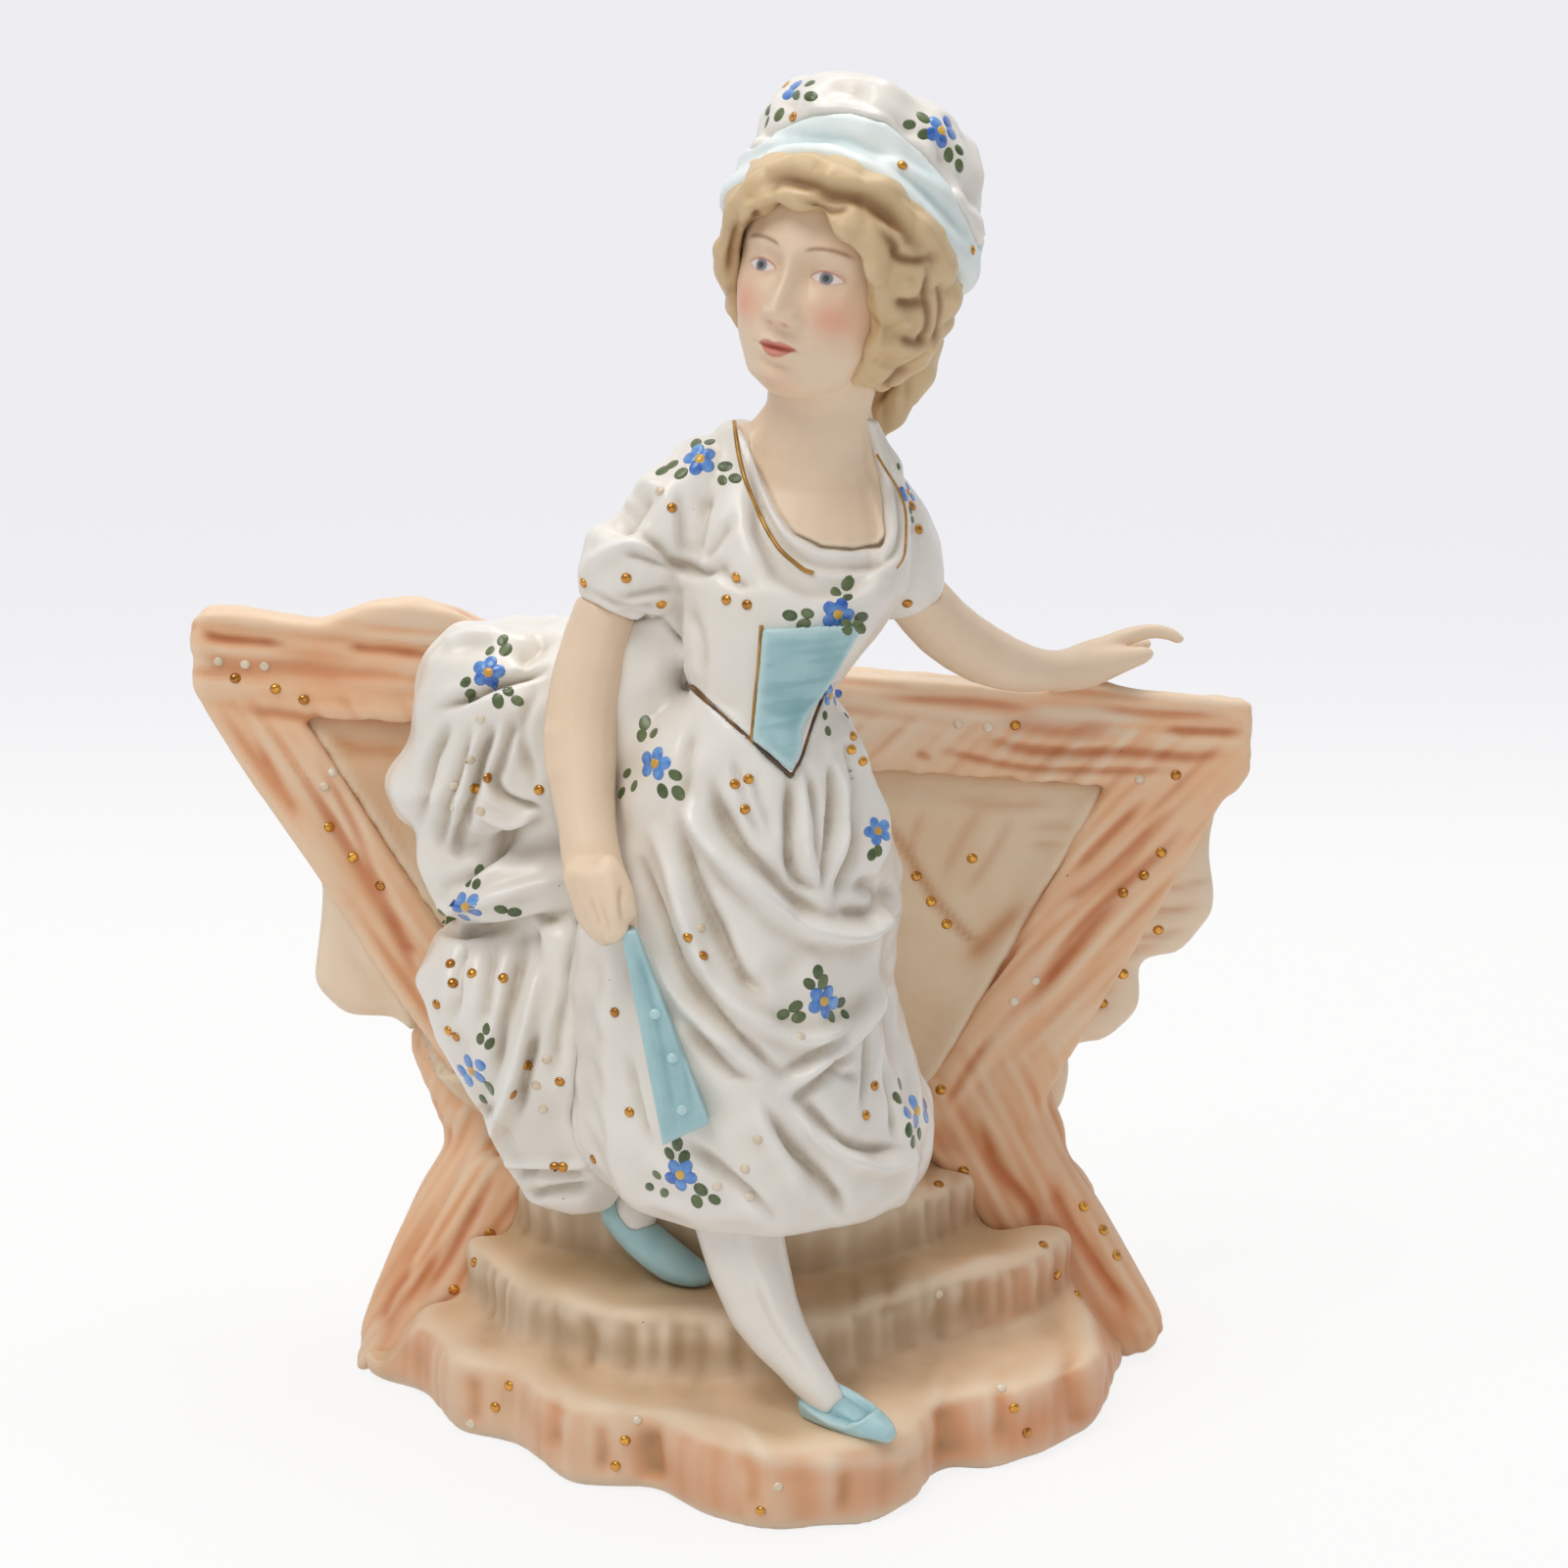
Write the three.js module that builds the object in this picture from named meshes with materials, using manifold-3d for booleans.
// A bisque figural planter: a lady comes down rough stone steps in front of a
// V-shaped trough of rustic timber. Millimetres, +Z up, the front faces -Y, and
// the origin is on the ground under the middle of the piece.
import * as THREE from 'three';
import { mergeVertices } from 'three/addons/utils/BufferGeometryUtils.js';
import Module from 'manifold-3d';

// Joints between luted members
const seam = 0.3;

// The trough and its timbers
const rimLength = 153;
const rimLeft = 115.6;
const rimRight = 101.2;
const troughDepth = 27;
const troughWall = 4;
const backRimDrop = 6;
const frontPlace = 16.5;
const frontSlant = 0.046;
const railDeep = 12.2;
const timberThick = 4.4;
const leftBraceWide = 10.5;
const rightBraceWide = 17;
const leftStrutWide = 10;
const rightStrutWide = 15;
const waistLeft = -37.7;
const waistRight = 45.5;
const waistHigh = 34;

// The stepped rock
const stepRise = [12, 10, 9];
const rockWall = 3.8;
const footLeft = -56.5;
const footRight = 69;

// The figure, as levels from the ground up
const hemHigh = 38;
const skirtLong = 66;
const torsoLong = 38;
const neckLong = 9;
const headHigh = 32;
const headWide = 22.6;
const capHigh = 20;
const capWide = 35;
const hemWide = 48;
const waistWide = 18.6;
const armThick = 9.6;
const legThick = 11.8;
const fanLong = 29;
const fanThick = 2.6;

const waistLevel = hemHigh + skirtLong;
const shoulderLevel = waistLevel + torsoLong;
const chinLevel = shoulderLevel + neckLong;
const bustleFoot = waistLevel - 30;
const groundTop = stepRise[0];
const stairTop = stepRise[0] + stepRise[1];
const ledgeTop = stairTop + stepRise[2];

const wasm = await Module();
wasm.setup();

// A solid for cutting and joining, from a closed geometry
function solid(geometry) {
  const bare = geometry.clone();
  bare.deleteAttribute('normal');
  bare.deleteAttribute('uv');
  const merged = mergeVertices(bare, 1e-4);
  return new wasm.Manifold(new wasm.Mesh({
    numProp: 3,
    vertProperties: Float32Array.from(merged.attributes.position.array),
    triVerts: Uint32Array.from(merged.index.array),
  }));
}

// The geometry of a solid, with its own corner at the given anchor
function geometryOf(body, anchor) {
  const { vertProperties, triVerts } = body.getMesh();
  const geometry = new THREE.BufferGeometry();
  geometry.setAttribute('position', new THREE.BufferAttribute(vertProperties, 3));
  geometry.setIndex(new THREE.BufferAttribute(triVerts, 1));
  geometry.translate(-anchor[0], -anchor[1], -anchor[2]);
  geometry.computeVertexNormals();
  return geometry;
}

// A closed skin over rings that all have the same number of points
function skin(rings, start, end) {
  const around = rings[0].length;
  const points = rings.flat();
  const faces = [];
  for (let ring = 0; ring + 1 < rings.length; ring += 1) {
    for (let i = 0; i < around; i += 1) {
      const next = (i + 1) % around;
      const low = ring * around;
      const high = low + around;
      faces.push(low + i, low + next, high + next);
      faces.push(low + i, high + next, high + i);
    }
  }
  const first = points.push(start) - 1;
  const last = points.push(end) - 1;
  const top = (rings.length - 1) * around;
  for (let i = 0; i < around; i += 1) {
    const next = (i + 1) % around;
    faces.push(first, next, i);
    faces.push(last, top + i, top + next);
  }
  const geometry = new THREE.BufferGeometry().setFromPoints(points);
  geometry.setIndex(faces);
  return geometry;
}

// A limb or a garment: ellipses that follow a smooth spine through its stations.
// A station is [x, y, z, half width, half depth, fold height, cross slope].
// Level limbs keep their ellipses flat, and the others turn with the spine.
function limb(stations, options, grow = 0) {
  const { sides = 20, between = 3, level = false, across = [1, 0, 0], folds = 0, turn = 0 } = options;
  const spine = new THREE.CatmullRomCurve3(stations.map((s) => new THREE.Vector3(s[0], s[1], s[2])));
  const sizes = new THREE.CatmullRomCurve3(stations.map((s) => new THREE.Vector3(s[3], s[4], s[5] ?? 0)));
  const slopes = new THREE.CatmullRomCurve3(stations.map((s, i) => new THREE.Vector3(s[6] ?? 0, i, 0)));
  const count = (stations.length - 1) * between;
  const rings = [];
  const ends = [];
  for (let step = 0; step <= count; step += 1) {
    const t = step / count;
    const size = sizes.getPoint(t);
    const along = level ? new THREE.Vector3(0, 0, 1) : spine.getTangent(t);
    const side = new THREE.Vector3(...across);
    side.addScaledVector(along, -side.dot(along)).normalize();
    const front = new THREE.Vector3().crossVectors(along, side);
    const stretch = step === 0 ? -grow : step === count ? grow : 0;
    const centre = spine.getPoint(t).addScaledVector(along, stretch);
    const ring = [];
    for (let i = 0; i < sides; i += 1) {
      const angle = (i / sides) * 2 * Math.PI;
      const fold = size.z * Math.cos(folds * angle + turn);
      const point = centre.clone();
      point.addScaledVector(side, Math.cos(angle) * (Math.max(size.x, 0.4) + fold + grow));
      point.addScaledVector(front, Math.sin(angle) * (Math.max(size.y, 0.4) + fold + grow));
      point.z += slopes.getPoint(t).x * (point.x - centre.x);
      ring.push(point);
    }
    rings.push(ring);
    if (step === 0 || step === count) ends.push(centre);
  }
  return skin(rings, ends[0], ends[1]);
}

// The outline moved outwards by a distance, or inwards where that is negative
function offset(outline, distance) {
  return outline.map((point, i) => {
    const before = outline[(i + outline.length - 1) % outline.length];
    const after = outline[(i + 1) % outline.length];
    const edgeIn = new THREE.Vector2(point[0] - before[0], point[1] - before[1]).normalize();
    const edgeOut = new THREE.Vector2(after[0] - point[0], after[1] - point[1]).normalize();
    const normalIn = new THREE.Vector2(edgeIn.y, -edgeIn.x);
    const normalOut = new THREE.Vector2(edgeOut.y, -edgeOut.x);
    const mitre = normalIn.add(normalOut).normalize();
    const stretch = distance / Math.max(mitre.dot(normalOut), 0.5);
    return [point[0] + mitre.x * stretch, point[1] + mitre.y * stretch];
  });
}

function shapeOf(outline) {
  return new THREE.Shape(outline.map((point) => new THREE.Vector2(...point)));
}

// A plate with an upright outline (x and z, anticlockwise from the front), from
// one depth to another, set back along the planter's slanting front
function plate(outline, front, back, grow = 0) {
  const depth = back - front + 2 * grow;
  const geometry = new THREE.ExtrudeGeometry(shapeOf(offset(outline, grow)), {
    depth,
    bevelEnabled: false,
  });
  geometry.rotateX(Math.PI / 2);
  geometry.translate(0, front - grow + depth, 0);
  const place = geometry.attributes.position;
  for (let i = 0; i < place.count; i += 1) {
    place.setY(i, place.getY(i) + frontSlant * place.getX(i));
  }
  return geometry;
}

// A slab with a flat outline (x and y, anticlockwise from above)
function slab(outline, low, high, grow = 0) {
  const geometry = new THREE.ExtrudeGeometry(shapeOf(offset(outline, grow)), {
    depth: high - low + 2 * grow,
    bevelEnabled: false,
  });
  geometry.translate(0, 0, low - grow);
  return geometry;
}

// A wandering outline through a few points
function wander(points, count) {
  const curve = new THREE.SplineCurve([...points, points[0]].map((p) => new THREE.Vector2(...p)));
  return curve.getPoints(count).slice(0, count).map((p) => [p.x, p.y]);
}

// The height of the rim, which falls from left to right
function rimAt(x) {
  const share = x / rimLength + 0.5;
  return rimLeft + (rimRight - rimLeft) * share;
}

// A timber between two lines of height: its outline, and its place on the front
function timber(outline, grow = 0) {
  return plate(outline, frontPlace - timberThick - seam, frontPlace - seam, grow);
}

const rimEnd = rimLength / 2;
const leftTip = [-rimEnd, rimLeft - 2];
const leftEave = [-rimEnd, rimLeft - railDeep + 1];
const rightEave = [rimEnd, rimRight - railDeep + 0.5];

// The front rail: the burl rises from its top edge near the left end
function frontRail(grow = 0) {
  const burl = -45;
  const outline = [
    leftEave,
    [-rimEnd + 4, leftEave[1] - 3],
    [burl, rimAt(burl) - railDeep - 0.6],
    [20, rimAt(20) - railDeep - 2],
    [58, rimAt(58) - railDeep - 1.4],
    [rightEave[0] - 2, rightEave[1] - 1.5],
    [rimEnd, rightEave[1] + 2],
    [rimEnd, rimRight],
    [60, rimAt(60) - 0.2],
    [52, rimAt(52) + 1.4],
    [44, rimAt(44) - 0.8],
    [0, rimAt(0) - 1],
    [burl + 13, rimAt(burl + 13) + 0.5],
    [burl + 6, rimAt(burl + 6) + 3.6],
    [burl, rimAt(burl) + 4.8],
    [burl - 6, rimAt(burl - 6) + 3.4],
    [burl - 14, rimAt(burl - 14) + 0.2],
    [-rimEnd + 6, rimLeft + 0.6],
    [-rimEnd + 2, rimLeft + 0.4],
    [-rimEnd, rimLeft - 1.5],
  ];
  return timber(outline, grow);
}

// A board between two points of its outer edge, with its width laid inwards
function board(outer, inner, grow = 0) {
  const outline = [outer[0], inner[0], inner[1], outer[1]];
  const turned = THREE.ShapeUtils.area(outline.map((p) => new THREE.Vector2(...p))) > 0;
  return timber(turned ? outline : outline.reverse(), grow);
}

// The braces fall from the rail's ends to the waist
const braceTopLeft = [-rimEnd + 1, leftEave[1] - 1.6];
const braceTopRight = [rimEnd - 1.4, rightEave[1] + 1.6];

function leftBrace(grow = 0) {
  const lean = leftBraceWide * 1.15;
  return board(
    [braceTopLeft, [waistLeft - 3.4, waistHigh + 13]],
    [[braceTopLeft[0] + lean, braceTopLeft[1]], [waistLeft - 3.4 + lean, waistHigh + 13]],
    grow,
  );
}

function rightBrace(grow = 0) {
  const lean = rightBraceWide * 1.05;
  return board(
    [braceTopRight, [waistRight + 0.2, waistHigh + 5]],
    [[braceTopRight[0] - lean, braceTopRight[1]], [waistRight + 0.2 - lean, waistHigh + 5]],
    grow,
  );
}

// The struts spread from the waist to the feet
function leftStrut(grow = 0) {
  return board(
    [[waistLeft, waistHigh - 1], [footLeft, seam]],
    [[waistLeft + leftStrutWide, waistHigh - 1], [footLeft + leftStrutWide + 4, seam]],
    grow,
  );
}

function rightStrut(grow = 0) {
  return board(
    [[waistRight, waistHigh - 1], [footRight, seam]],
    [[waistRight - rightStrutWide, waistHigh - 1], [footRight - rightStrutWide, seam]],
    grow,
  );
}

// The trough's outline: lobes stand out past the braces on both sides
function troughOutline() {
  return [
    [waistLeft, waistHigh],
    [waistRight, waistHigh],
    [waistRight + 4.6, 38],
    [waistRight + 6, 44],
    [waistRight + 5, 48.4],
    [waistRight + 11, 48.6],
    [waistRight + 16.6, 54],
    [waistRight + 15.6, 61.6],
    [waistRight + 22, 62],
    [waistRight + 27.4, 69],
    [waistRight + 26, 78.5],
    [rimEnd - 3, rightEave[1]],
    [rimEnd - 0.4, rimRight - 1],
    [rimEnd - 1.5, rimAt(rimEnd) - 0.6],
    [0, rimAt(0) - 0.6],
    [-rimEnd + 1.5, rimAt(-rimEnd) - 0.6],
    [-rimEnd + 0.4, leftEave[1]],
    [waistLeft - 34, 97],
    [waistLeft - 22, 76],
    [waistLeft - 22.6, 68],
    [waistLeft - 23.8, 59],
    [waistLeft - 19, 54],
    [waistLeft - 8, 54],
    [waistLeft - 3, 44],
  ];
}

function troughBlock(grow = 0) {
  return plate(troughOutline(), frontPlace, frontPlace + troughDepth, grow);
}

// The space inside, which opens upwards, and the cut that lowers the back rim
function troughShell() {
  const floor = waistHigh + troughWall + 1;
  const above = Math.max(rimLeft, rimRight) + 20;
  const cavity = [
    [waistLeft + 4, floor],
    [waistRight - 3, floor],
    [rimEnd - troughWall - 2.5, rightEave[1]],
    [rimEnd - troughWall, above],
    [-rimEnd + troughWall, above],
    [-rimEnd + troughWall + 1, leftEave[1]],
  ];
  const inside = plate(cavity, frontPlace + troughWall, frontPlace + troughDepth - troughWall);
  const lowered = [
    [-rimEnd - 5, rimAt(-rimEnd - 5) - backRimDrop],
    [rimEnd + 5, rimAt(rimEnd + 5) - backRimDrop],
    [rimEnd + 5, above],
    [-rimEnd - 5, above],
  ];
  const cut = plate(lowered, frontPlace + troughWall + 2, frontPlace + troughDepth + 5);
  return solid(troughBlock()).subtract(solid(inside)).subtract(solid(cut));
}

// The rock: three rough steps in front, and the block that carries the trough
const groundOutline = wander([
  [footLeft - 0.5, 17], [-54.2, 7], [-47.5, 2.5], [-42.5, -5], [-38.5, -15], [-31, -17.5],
  [-26.5, -25], [-20.5, -32.5], [-11, -33.6], [-5, -40], [4, -46.6], [14, -46.4], [21, -43.8],
  [26, -38.4], [30.5, -28.6], [40, -26], [47.5, -19.5], [53.5, -12], [56.5, 2], [61, 15], [footRight - 1, 27],
  [footRight + 1, 35], [footRight - 1.5, 42], [55, 45.6], [0, 44.4], [-48, 41.6],
  [footLeft + 0.5, 37], [footLeft - 1, 27],
], 96);
const stairOutline = wander([
  [-42, 14], [-34, -3], [-30, -11], [-24, -16], [-14, -24], [-6, -24.5], [2, -26.5],
  [12, -26], [17.5, -22], [23, -17.5], [31, -10.5], [43, -2], [49, 7], [53, 20], [52, 36],
  [0, 38], [-42, 34],
], 64);
const ledgeOutline = wander([
  [-34, 14], [-27, 2], [-18, -3.5], [-6, -7], [8, -10], [19, -7], [27.5, 0.5], [31.5, 4],
  [36.5, 12], [42, 18], [44, 34], [0, 36], [-34, 32],
], 56);

function rockBlock(grow = 0) {
  const back = frontPlace + troughDepth;
  const carrier = [
    [footLeft - 0.6, 0],
    [footRight + 0.8, 0],
    [waistRight + 0.4, waistHigh - seam],
    [waistLeft - 0.4, waistHigh - seam],
  ];
  return solid(slab(groundOutline, 0, groundTop, grow))
    .add(solid(slab(stairOutline, 0, stairTop, grow)))
    .add(solid(slab(ledgeOutline, 0, ledgeTop, grow)))
    .add(solid(plate(carrier, frontPlace, back - 1, grow)))
    .intersect(solid(plate(carrier, -90, 90, grow)));
}

// The hollow under the rock, open below, with a wall left all round. Its outline
// is a plainer one than the rock's, so the wall is thicker behind the scallops.
function rockHollow() {
  const below = -5;
  const inside = (outline) => offset(outline.filter((point, i) => i % 6 === 0), -rockWall - 1);
  return solid(slab(inside(groundOutline), below, groundTop - rockWall))
    .add(solid(slab(inside(stairOutline), below, stairTop - rockWall)))
    .add(solid(slab(inside(ledgeOutline), below, ledgeTop - rockWall)));
}

// The skirt, cut level at the hem
const skirtShape = { sides: 36, between: 1, level: true, folds: 13, turn: 0.6 };
function overskirt(grow = 0) {
  const half = hemWide / 2;
  return limb([
    [6.5, -13.5, hemHigh, half - 3.5, 23, 0.8],
    [5, -13, hemHigh + 3, half - 0.6, 26.2, 1],
    [4.4, -12.6, hemHigh + 9, half + 0.6, 28, 1],
    [2.4, -12.4, hemHigh + skirtLong * 0.3, half - 1, 28.2, 0.9],
    [1.2, -13.4, hemHigh + skirtLong * 0.46, half - 2.2, 26.6, 0.8],
    [2.4, -16.4, hemHigh + skirtLong * 0.62, half - 2.6, 21.4, 0.7],
    [3, -20, hemHigh + skirtLong * 0.76, half - 4, 17.4, 0.5],
    [2.9, -23, hemHigh + skirtLong * 0.9, half - 6.8, 13.2, 0.3],
    [3.6, -24.4, waistLevel - 0.5, waistWide / 2 + 5.8, 11.2, 0],
  ], skirtShape, grow);
}

// The train falls behind on the left, below the bustle
const clothShape = { sides: 26, between: 1, level: true, folds: 9, turn: 0 };
function train(grow = 0) {
  return limb([
    [-21.5, -6, ledgeTop + 1.6, 6.2, 6, 0.4],
    [-21, -5, hemHigh + 2, 10.6, 10, 0.7],
    [-21.5, -3.6, hemHigh + 9, 14.2, 13.4, 0.8],
    [-23.5, -1.4, waistLevel - 48, 17.6, 17.6, 0.8],
    [-26, -0.6, waistLevel - 39, 18.4, 18, 0.7],
    [-26, -0.2, bustleFoot - 3, 15, 14.8, 0.4],
    [-26, -1, bustleFoot - 0.5, 11, 10.6, 0],
  ], clothShape, grow);
}

function lowerBustle(grow = 0) {
  return limb([
    [-26.6, -1, bustleFoot, 11, 10.4, 0],
    [-26.6, -1, bustleFoot + 2, 14.4, 13.6, 0.4],
    [-26.8, -1, bustleFoot + 6, 16, 15.4, 0.4],
    [-27, -1, bustleFoot + 10, 14.4, 14, 0.3],
    [-27, -1, bustleFoot + 12, 11, 11, 0],
  ], clothShape, grow);
}

function upperBustle(grow = 0) {
  return limb([
    [-26, 0, bustleFoot + 12.5, 14, 10, 0],
    [-27, 0, bustleFoot + 14.5, 19, 13.6, 0.5],
    [-27.6, -1, bustleFoot + 19, 20.6, 15.4, 0.7],
    [-26, -1.5, bustleFoot + 24, 19.2, 15, 0.7],
    [-22.2, -3.6, waistLevel - 2, 21.2, 14.8, 0.6],
    [-20.6, -4.4, waistLevel + 3, 22.6, 14.4, 0.5],
    [-20.4, -4.4, waistLevel + 8, 21, 12.4, 0.4],
    [-22, -3.4, waistLevel + 12, 15, 8, 0],
  ], clothShape, grow);
}

// The bodice: its shoulders slope down towards the stretched arm
const bodiceShape = { sides: 24, between: 1, level: true };
function bodice(grow = 0) {
  const half = waistWide / 2;
  return limb([
    [3.6, -24.4, waistLevel - 0.2, half + 5.4, 10.8, 0, 0],
    [4.4, -24.8, waistLevel + 3, half + 3.2, 10.2, 0, 0],
    [5.4, -24.8, waistLevel + 6.6, half, 9.4, 0, 0],
    [6, -24.4, waistLevel + 10, half + 1.8, 10.2, 0, 0],
    [8, -23.8, waistLevel + 15, half + 4, 12, 0, 0],
    [9.8, -22.8, waistLevel + 21, half + 5.6, 12.9, 0, -0.05],
    [10.4, -20.5, waistLevel + 27.5, half + 6, 12, 0, -0.12],
    [10.6, -18, waistLevel + 33, half + 5.2, 9.8, 0, -0.2],
    [10.6, -16.6, shoulderLevel + 0.8, half + 1.6, 6.8, 0, -0.24],
    [11, -16.6, shoulderLevel + 3.2, half - 3.4, 4.4, 0, -0.2],
  ], bodiceShape, grow);
}

// The low round neckline, open to the front and above
function neckline() {
  return limb([
    [15, -37, shoulderLevel - 17.4, 4, 5],
    [14.4, -35, shoulderLevel - 15, 8, 8.6],
    [13.6, -33, shoulderLevel - 9.6, 10, 10.6],
    [12.8, -30, shoulderLevel - 3, 10.4, 10.6],
    [12, -27, shoulderLevel + 8, 10.4, 11],
  ], { sides: 20, between: 1, level: true });
}

// The stomacher: a thin panel that follows the front of the bodice
function stomacher() {
  const panel = [
    [9.3, waistLevel - 2.6],
    [10.6, waistLevel + 1.4],
    [12, waistLevel + 4.8],
    [14.4, waistLevel + 9.6],
    [19.2, waistLevel + 17.2],
    [5.2, waistLevel + 17.6],
    [4.4, waistLevel + 1],
  ];
  const thick = 1.1;
  const window = plate(panel, -60, -27);
  return solid(bodice(seam + thick)).intersect(solid(window)).subtract(solid(bodice(seam)));
}

const sleeveShape = { sides: 16, between: 1, across: [0, 1, 0] };
function fanSleeve(grow = 0) {
  return limb([
    [2.4, -16.8, shoulderLevel - 1, 4.6, 2.2],
    [-1.6, -17, shoulderLevel - 1.6, 6.6, 4.2],
    [-5.6, -17.6, shoulderLevel - 6.6, 7.8, 5.8],
    [-8, -18.2, shoulderLevel - 11.4, 8.2, 6.4],
    [-11, -19.2, shoulderLevel - 14.8, 8.6, 8],
    [-12.4, -20.2, shoulderLevel - 18.6, 8.2, 7.4],
    [-13.6, -20.6, shoulderLevel - 21.4, 6.4, 5.8],
  ], sleeveShape, grow);
}

function railSleeve(grow = 0) {
  return limb([
    [17, -15.8, shoulderLevel - 2.2, 4.6, 3.4],
    [20.2, -15.2, shoulderLevel - 6.2, 6.4, 4.8],
    [22, -14.6, shoulderLevel - 10.6, 7.4, 6],
    [23.4, -13.6, shoulderLevel - 15, 7.6, 6.4],
    [24.6, -13, shoulderLevel - 18.8, 7, 5.6],
    [25.6, -12.6, shoulderLevel - 21.4, 5.4, 4.4],
  ], sleeveShape, grow);
}

// The arm that hangs down to the fan
const armShape = { sides: 14, between: 2 };
const fanHand = [-12, -38.8, shoulderLevel - 62.4];
function fanArm(grow = 0) {
  const half = armThick / 2;
  return limb([
    [-14.4, -20.2, shoulderLevel - 18.5, half - 0.7, half - 0.6],
    [-16.8, -20.6, shoulderLevel - 25, half - 0.4, half - 0.4],
    [-18.9, -22.6, shoulderLevel - 34.5, half, half],
    [-18.8, -26.2, shoulderLevel - 42, half - 0.3, half - 0.2],
    [-17.9, -30.4, shoulderLevel - 48.5, half - 1.1, half - 1],
    [-17, -33.8, shoulderLevel - 53.5, half - 0.9, half - 1.4],
    [-15.2, -36.6, shoulderLevel - 58.2, half - 0.7, half - 1.5],
    [fanHand[0] - 1.4, fanHand[1] + 0.4, fanHand[2] + 0.6, half - 2.2, half - 2.4],
  ], armShape, grow);
}

// The arm that reaches along the rail, with the hand palm down
const handPlace = [57, frontPlace - 0.5 + frontSlant * 57];
const handHigh = rimAt(handPlace[0]) + 4.9;
function railArm(grow = 0) {
  const half = armThick / 2;
  const reach = (share) => [
    25.5 + (handPlace[0] - 25.5) * share,
    -12.5 + (handPlace[1] + 12.5) * share,
  ];
  return limb([
    [...reach(0), shoulderLevel - 19.5, half - 0.6, half - 0.6],
    [...reach(0.15), shoulderLevel - 25.4, half - 0.5, half - 0.5],
    [...reach(0.34), handHigh + 3.8, half - 0.7, half - 0.7],
    [...reach(0.56), handHigh + 0.4, half - 1.6, half - 1.6],
    [...reach(0.72), handHigh - 0.4, half - 1.9, half - 2.3],
    [...reach(0.86), handHigh, half - 1.5, half - 2.2],
    [...reach(1), handHigh + 0.6, half - 1.1, half - 2.4],
    [handPlace[0] + 5.4, handPlace[1] + 1, handHigh + 1.6, half - 1.9, half - 3.1],
    [handPlace[0] + 9, handPlace[1] + 1.4, handHigh + 1.9, half - 3.2, half - 3.8],
  ], { ...armShape, across: [0, 1, 0] }, grow);
}

// The closed fan hangs from the hand and widens downwards
function fan(grow = 0) {
  const [x, , top] = fanHand;
  const high = top + 2;
  const outline = offset([
    [x - 0.9, high],
    [x + 4.3, high - fanLong],
    [x + 10.4, high - fanLong + 3],
    [x + 0.9, high + 0.2],
  ], grow);
  const geometry = new THREE.ExtrudeGeometry(shapeOf(outline), {
    depth: fanThick + 2 * grow,
    bevelEnabled: false,
  });
  geometry.rotateX(Math.PI / 2);
  geometry.translate(0, fanHand[1] - 1.4 + fanThick / 2 + grow, 0);
  return geometry;
}

// The head sits on its neck, turned to the left and leaning to the right
const headPlace = new THREE.Matrix4().compose(
  new THREE.Vector3(14, -21, chinLevel + headHigh / 2 - 1.4),
  new THREE.Quaternion().setFromEuler(new THREE.Euler(-0.06, 0.17, -0.42, 'ZYX')),
  new THREE.Vector3(1, 1, 1),
);

function headEgg(grow = 0) {
  const half = headWide / 2;
  const high = headHigh / 2;
  const geometry = limb([
    [0, -5.4, -high, 2.4, 2.4],
    [0, -4, -high * 0.86, half * 0.56, 6.6],
    [0, -2.2, -high * 0.58, half * 0.8, 9.8],
    [0, -0.8, -high * 0.2, half * 0.95, 12],
    [0, 0, high * 0.25, half, 13.2],
    [0, 0.6, high * 0.62, half * 0.89, 11.8],
    [0, 0.8, high * 0.88, half * 0.58, 7.6],
    [0, 0.8, high, 2, 2.4],
  ], { sides: 22, between: 1, level: true }, grow);
  return geometry.applyMatrix4(headPlace);
}

function neckAndChest(grow = 0) {
  return limb([
    [9.6, -22.6, waistLevel + 16, 9, 8.6],
    [10.6, -22, waistLevel + 22, 12.2, 10.4],
    [11, -19.6, shoulderLevel - 9.6, 12.6, 9.6],
    [11.4, -18.4, shoulderLevel - 4, 9.6, 7.4],
    [12, -18.6, shoulderLevel, 8.2, 6.9],
    [12.7, -19.6, shoulderLevel + 4, 7.3, 6.5],
    [13.4, -20, shoulderLevel + 9, 7, 6.7],
    [14.2, -20, shoulderLevel + 14, 7, 7],
  ], { sides: 22, between: 1, level: true }, grow);
}

function head(grow = 0) {
  return solid(headEgg(grow)).add(solid(neckAndChest(grow)));
}

// The hair is a full soft mass, open round the face
function hairMass(grow = 0) {
  const geometry = limb([
    [1.8, 4, -15, 4, 4],
    [1.6, 3.4, -12.6, 9.6, 8.4],
    [1.4, 1.8, -7, 14.4, 13.6],
    [1.2, 0.8, 0, 16.2, 16],
    [1, 0.4, 7, 16, 16.4],
    [1, 0.8, 12.5, 13.6, 14.6],
    [1, 1.2, 16.4, 8, 9.6],
    [1, 1.4, 17.8, 2.6, 3],
  ], { sides: 27, between: 1, level: true, folds: 9 }, grow);
  return geometry.applyMatrix4(headPlace);
}

function faceWindow() {
  const geometry = limb([
    [0, -15, -19, 8, 9],
    [0, -15, -15, 13.4, 12.6],
    [0, -14.6, -8, 14.6, 12.8],
    [0, -14.2, -2, 13, 11.4],
    [0, -14.2, 3.6, 10.2, 9.4],
    [0, -14.6, 8.6, 4, 5],
  ], { sides: 20, between: 1, level: true });
  return geometry.applyMatrix4(headPlace);
}

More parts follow.
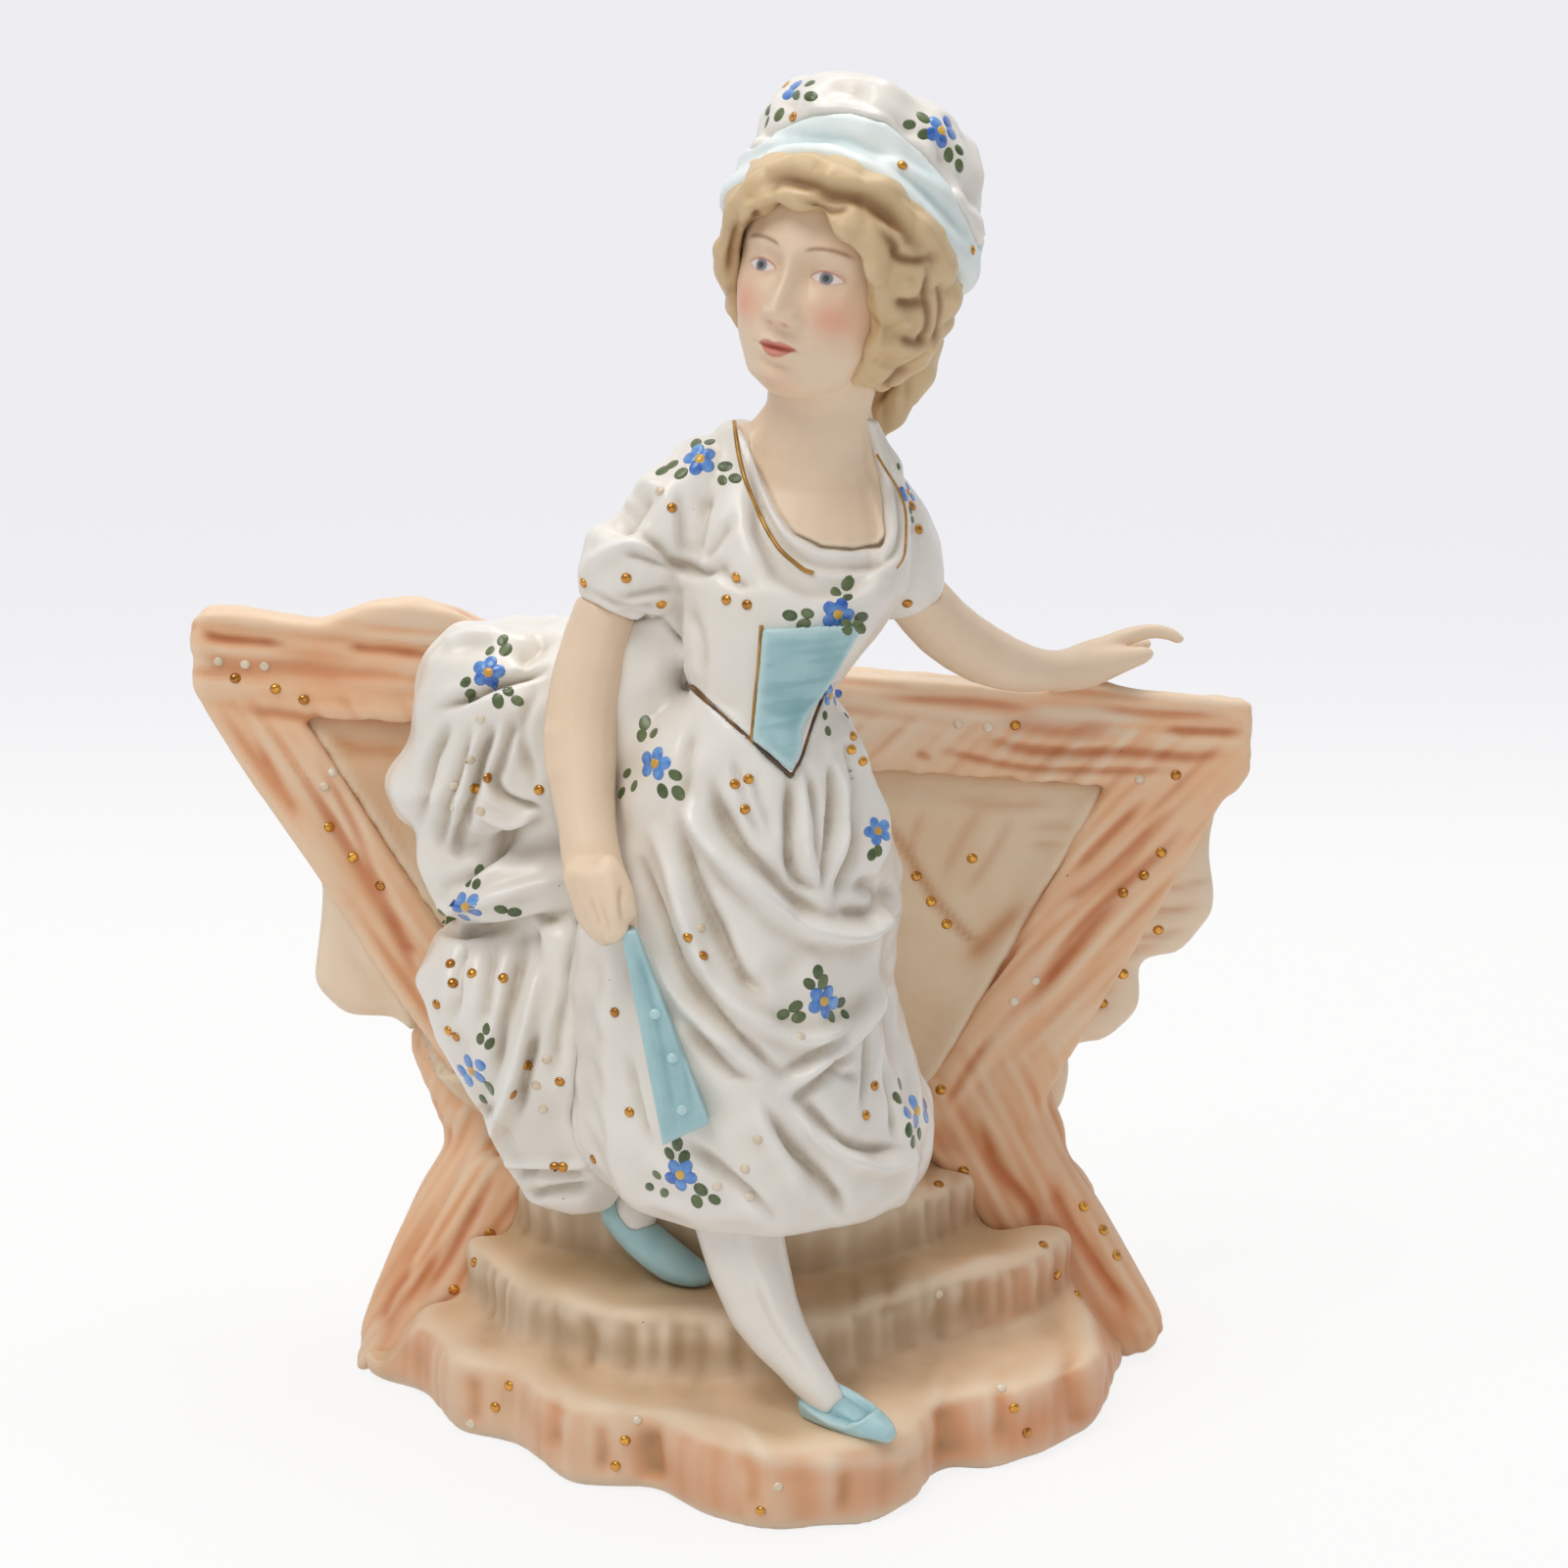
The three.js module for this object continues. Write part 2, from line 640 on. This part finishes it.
// The curl that hangs at the side of the neck
function ringlet(grow = 0) {
  return limb([
    [26.2, -10.8, chinLevel + 6, 3.6, 3.6],
    [25.2, -11.2, chinLevel + 1.6, 3.5, 3.3],
    [23.6, -11.8, chinLevel - 1.8, 2.9, 2.7],
    [21.8, -12.2, chinLevel - 5, 2.1, 2],
    [20.4, -12.4, chinLevel - 7.8, 1.2, 1.1],
  ], { sides: 12, between: 2 }, grow);
}

// The cap sits back on the hair and slopes down to the right
const capPlace = new THREE.Matrix4().compose(
  new THREE.Vector3(16.8, -16.4, chinLevel + headHigh * 0.6 - 0.6),
  new THREE.Quaternion().setFromEuler(new THREE.Euler(-0.42, 0.22, -0.3, 'ZYX')),
  new THREE.Vector3(1, 1, 1),
);

function capCrown(grow = 0) {
  const half = capWide / 2;
  const geometry = limb([
    [0, 0, 2.4, half - 4, half - 4],
    [0, 0, 5, half - 2.6, half - 2.6],
    [-0.2, 0, 9, half - 2.2, half - 2, 0.2],
    [-0.8, 0, capHigh - 7, half - 2.4, half - 1.8, 0.4],
    [-1.2, 0, capHigh - 3, half - 4.4, half - 4, 0.5],
    [-1.4, 0, capHigh - 0.8, half - 9, half - 8.6, 0.4],
    [-1.6, 0, capHigh, 3, 3],
  ], { sides: 27, between: 1, level: true, folds: 9 }, grow);
  return geometry.applyMatrix4(capPlace);
}

function capBand(grow = 0) {
  const half = capWide / 2;
  const geometry = limb([
    [0, 0, -1.4, half - 1.6, half - 1.6],
    [0, 0, -0.2, half, half],
    [0, 0, 1.6, half, half],
    [0, 0, 3, half - 0.8, half - 0.8],
    [0, 0, 6.2, half - 0.6, half - 0.6],
    [0, 0, 7.2, half - 1.4, half - 1.4],
  ], { sides: 27, between: 1, level: true }, grow);
  return geometry.applyMatrix4(capPlace);
}

// The front foot is on the first step, the back foot on tiptoe behind
function frontLeg(grow = 0) {
  const half = legThick / 2;
  return limb([
    [0.6, -26, hemHigh + 8, half, half],
    [1.8, -28, hemHigh, half, half - 0.1],
    [5.6, -32.4, groundTop + 14, half - 1.2, half - 1.1],
    [10.2, -35.6, groundTop + 7.8, half - 2.8, half - 2.6],
    [13.2, -37, groundTop + 4.2, half - 3.5, half - 3],
    [15.2, -38.4, groundTop + 2.4, half - 4.2, half - 4.2],
  ], { sides: 14, between: 2 }, grow);
}

function backLeg(grow = 0) {
  const half = legThick / 2;
  return limb([
    [-10, -4.4, hemHigh + 8, half - 1, half - 1],
    [-11.6, -6, hemHigh - 1, half - 2, half - 2],
    [-13, -7.8, stairTop + 9, half - 3, half - 3],
    [-12.4, -9, stairTop + 6.4, half - 4, half - 4],
  ], { sides: 12, between: 1 }, grow);
}

const soleShape = { sides: 12, between: 2, across: [1, 1, 0] };
function frontSlipper(grow = 0) {
  return limb([
    [11.2, -34.6, groundTop + 2.6, 1, 1.4],
    [12.2, -35.4, groundTop + 2.4, 2.6, 2.6],
    [15, -37.8, groundTop + 2.2, 2.9, 3],
    [18.6, -40.6, groundTop + 1.4, 3, 2.4],
    [21.4, -42.8, groundTop + 0.8, 2, 1.4],
    [22.6, -43.8, groundTop + 0.6, 0.8, 0.8],
  ], soleShape, grow);
}

function backSlipper(grow = 0) {
  return limb([
    [-17, -5.6, stairTop + 10.6, 1, 1.2],
    [-15.6, -6.8, stairTop + 9.2, 2.5, 2.5],
    [-11.8, -9.2, stairTop + 5.8, 2.8, 2.8],
    [-7.4, -11.4, stairTop + 3, 2.9, 2.5],
    [-4, -12.6, stairTop + 1.8, 2.1, 1.6],
    [-2.4, -13, stairTop + 1.5, 0.8, 0.8],
  ], soleShape, grow);
}

// Colours of the tinted bisque
function tint(colour, roughness) {
  return new THREE.MeshStandardMaterial({ color: colour, roughness, metalness: 0 });
}

const whiteBisque = tint(0xe9e4dd, 0.5);
const fleshBisque = tint(0xf0dec8, 0.5);
const hairTint = tint(0xb9aa88, 0.55);
const turquoiseTint = tint(0xa6d3d8, 0.45);
const timberTint = tint(0xdfae8f, 0.6);
const rockTint = tint(0xe3cdb4, 0.65);

// Each member, cut clear of the ones that it is luted to
const planter = new THREE.Group();
const lady = new THREE.Group();

function member(group, name, body, material, anchor) {
  const mesh = new THREE.Mesh(geometryOf(body, anchor), material);
  mesh.name = name;
  mesh.position.set(...anchor);
  group.add(mesh);
}

function cutBy(body, others) {
  return others.reduce((left, other) => left.subtract(other), body);
}

const near = {
  rail: solid(frontRail(seam)),
  leftBrace: solid(leftBrace(seam)),
  rightBrace: solid(rightBrace(seam)),
  leftStrut: solid(leftStrut(seam)),
  rightStrut: solid(rightStrut(seam)),
  trough: solid(troughBlock(seam)),
  rock: rockBlock(seam),
  bodice: solid(bodice(seam)),
  overskirt: solid(overskirt(seam)),
  train: solid(train(seam)),
  lowerBustle: solid(lowerBustle(seam)),
  fanArm: solid(fanArm(seam)),
  fan: solid(fan(seam)),
  fanSleeve: solid(fanSleeve(seam)),
  railSleeve: solid(railSleeve(seam)),
  head: head(seam),
  hair: solid(hairMass(seam)),
  capCrown: solid(capCrown(seam)),
  capBand: solid(capBand(seam)),
  frontLeg: solid(frontLeg(seam)),
  backLeg: solid(backLeg(seam)),
  backSlipper: solid(backSlipper(seam)),
};
const timbers = [near.rail, near.leftBrace, near.rightBrace, near.leftStrut, near.rightStrut];
const planterFront = [...timbers, near.trough, near.rock];

member(planter, 'trough', troughShell(), timberTint, [0, frontPlace, waistHigh]);
member(planter, 'front_rail', solid(frontRail()), timberTint, [0, frontPlace, rimAt(0)]);
member(planter, 'left_brace', cutBy(solid(leftBrace()), [near.rail]), timberTint, [waistLeft, frontPlace, waistHigh]);
member(planter, 'right_brace', cutBy(solid(rightBrace()), [near.rail]), timberTint,
  [waistRight, frontPlace, waistHigh]);
member(planter, 'left_strut', cutBy(solid(leftStrut()), [near.leftBrace]), timberTint, [footLeft, frontPlace, 0]);
member(planter, 'right_strut', cutBy(solid(rightStrut()), [near.rightBrace]), timberTint,
  [footRight, frontPlace, 0]);
member(planter, 'plinth', cutBy(rockBlock(), [rockHollow(), near.leftStrut, near.rightStrut]), rockTint, [0, 0, 0]);

const skirtNeighbours = [near.bodice, near.fanArm, near.fan, near.frontLeg, near.backLeg, ...planterFront];
member(lady, 'overskirt', cutBy(solid(overskirt()), skirtNeighbours), whiteBisque, [6, -13, hemHigh]);
member(lady, 'train',
  cutBy(solid(train()), [near.overskirt, near.backLeg, near.backSlipper, ...planterFront]),
  whiteBisque, [-21, -4, ledgeTop]);
member(lady, 'lower_bustle',
  cutBy(solid(lowerBustle()), [near.overskirt, near.train, near.fanArm, ...planterFront]),
  whiteBisque, [-27, -1, bustleFoot]);
member(lady, 'upper_bustle',
  cutBy(solid(upperBustle()), [near.overskirt, near.lowerBustle, near.fanArm, near.bodice, ...planterFront]),
  whiteBisque, [-30, 0, bustleFoot + 12]);
member(lady, 'bodice', cutBy(solid(bodice()), [solid(neckline()), near.head]), whiteBisque, [8, -24, waistLevel]);
member(lady, 'stomacher', cutBy(stomacher(), [near.overskirt]), turquoiseTint, [9.3, -36, waistLevel]);
member(lady, 'fan_sleeve', cutBy(solid(fanSleeve()), [near.bodice]), whiteBisque, [-9, -17, shoulderLevel]);
member(lady, 'rail_sleeve', cutBy(solid(railSleeve()), [near.bodice, near.head]), whiteBisque, [22, -15, shoulderLevel]);
member(lady, 'fan_arm', cutBy(solid(fanArm()), [near.fanSleeve, near.fan]), fleshBisque,
  [-14, -20, shoulderLevel - 18]);
member(lady, 'rail_arm', cutBy(solid(railArm()), [near.railSleeve, ...timbers, near.trough]), fleshBisque,
  [26, -12, shoulderLevel - 18]);
member(lady, 'fan', solid(fan()), turquoiseTint, fanHand);
member(lady, 'head', head(), fleshBisque, [14, -21, chinLevel]);
member(lady, 'hair', cutBy(solid(hairMass()), [solid(faceWindow()), near.head, near.capCrown, near.capBand]),
  hairTint, [16, -20, chinLevel]);
member(lady, 'ringlet', cutBy(solid(ringlet()), [near.hair, near.head, near.bodice]), hairTint,
  [28, -11, chinLevel]);
member(lady, 'cap_crown', cutBy(solid(capCrown()), [near.head]), whiteBisque, [17, -14, chinLevel + headHigh]);
member(lady, 'cap_band', cutBy(solid(capBand()), [near.capCrown, near.head]), turquoiseTint,
  [17, -14, chinLevel + headHigh * 0.6]);
member(lady, 'front_leg', solid(frontLeg()), whiteBisque, [2, -28, hemHigh]);
member(lady, 'front_slipper', cutBy(solid(frontSlipper()), [near.frontLeg, near.rock]), turquoiseTint,
  [14, -37, groundTop]);
member(lady, 'back_leg', cutBy(solid(backLeg()), [near.rock]), whiteBisque, [-11, -6, hemHigh]);
member(lady, 'back_slipper', cutBy(solid(backSlipper()), [near.backLeg, near.rock]), turquoiseTint,
  [-11, -10, stairTop]);

const model = new THREE.Group();
model.add(planter, lady);
export default model;
